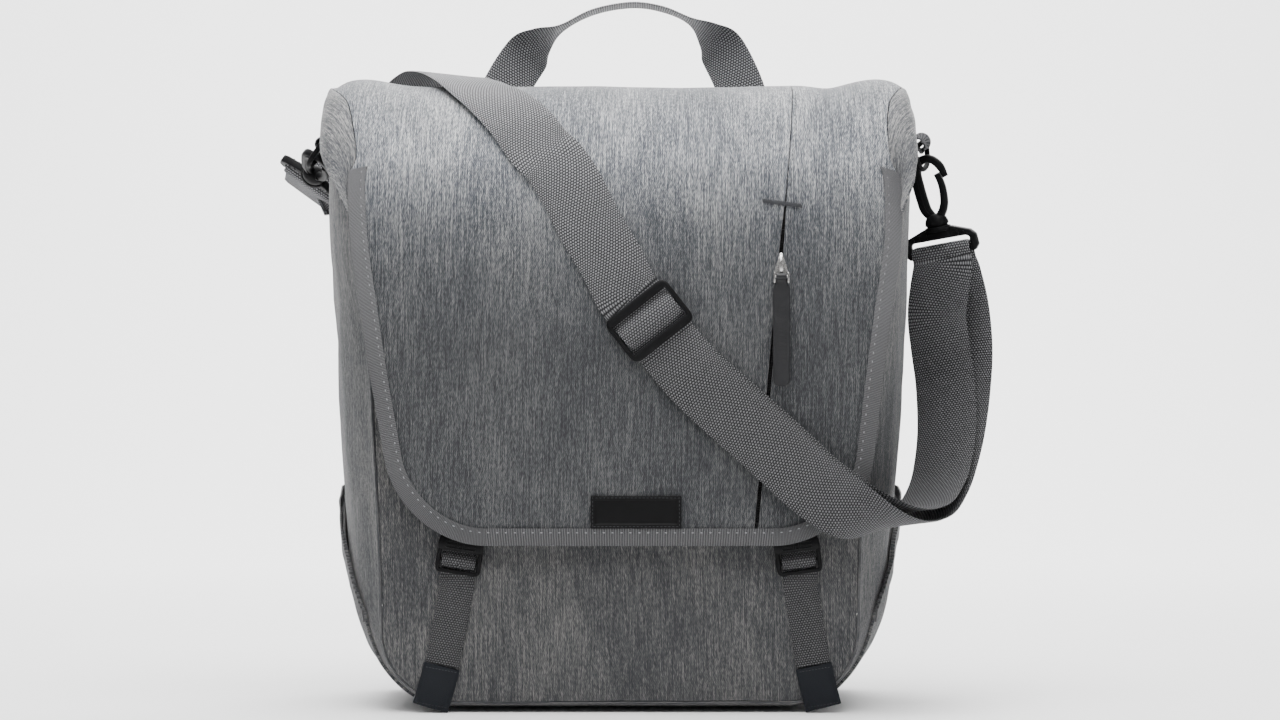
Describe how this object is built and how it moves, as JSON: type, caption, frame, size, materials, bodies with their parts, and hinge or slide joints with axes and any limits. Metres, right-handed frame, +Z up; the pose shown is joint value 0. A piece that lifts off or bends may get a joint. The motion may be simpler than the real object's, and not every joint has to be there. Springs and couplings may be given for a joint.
{
  "type": "bicycle pannier",
  "caption": "Single messenger-style bicycle pannier of melange cloth with a zipped roll-over flap, webbing shoulder strap with snap hooks, top handle and rack hooks.",
  "frame": {"origin": "middle of the flat base, which stands on Z = 0", "axes": "+Z up, +X to the wearer's right of the pictured front, +Y from the front to the rack side"},
  "size_m": [0.4493, 0.223, 0.4348],
  "materials": {
    "melange_cloth": "matt grey melange weave with light and dark upright streaks",
    "back_cloth": "matt dark grey stiffened cloth",
    "grey_webbing": "matt grey woven webbing",
    "ribbed_binding": "ribbed grey edge binding",
    "navy_sleeve": "matt dark navy woven sleeve",
    "black_plastic": "satin black moulded plastic",
    "black_rubber": "matt black moulded rubber",
    "zip_tape": "black coated zip tape",
    "zip_metal": "bright die-cast slider",
    "black_metal": "black coated wire"
  },
  "bodies": {
    "bag": {"back_panel": "back_cloth", "gusset": "melange_cloth", "front_panel": "melange_cloth", "side_pocket_left": "melange_cloth", "side_pocket_right": "melange_cloth", "pocket_binding_left": "ribbed_binding", "pocket_binding_right": "ribbed_binding", "flap_main_panel": "melange_cloth", "flap_zip_panel": "melange_cloth", "flap_binding": "ribbed_binding", "flap_cheek_left": "melange_cloth", "flap_cheek_right": "melange_cloth", "zip_tape": "zip_tape", "zip_slider": "zip_metal", "label_patch": "black_rubber", "buckle_left": "black_plastic", "buckle_right": "black_plastic", "closure_strap_left": "grey_webbing", "closure_strap_right": "grey_webbing", "strap_end_left": "navy_sleeve", "strap_end_right": "navy_sleeve", "handle": "grey_webbing", "snap_hook_left": "black_plastic", "snap_hook_right": "black_plastic", "swivel_base_left": "black_plastic", "swivel_base_right": "black_plastic", "d_ring_left": "black_metal", "d_ring_right": "black_metal", "d_ring_tab_left": "grey_webbing", "d_ring_tab_right": "grey_webbing", "shoulder_strap": "grey_webbing", "shoulder_strap_return": "grey_webbing", "strap_slider": "black_plastic", "rack_hook_left": "black_plastic", "rack_hook_right": "black_plastic"},
    "pull": {"zip_pull": "black_rubber"}
  },
  "joints": [
    {"name": "zip_pull_hinge", "type": "hinge", "parent": "bag", "child": "pull", "pos_m": [0.09462, -0.08865, 0.25675], "axis": [-1, 0, 0], "range_deg": [0, 150]}
  ]
}
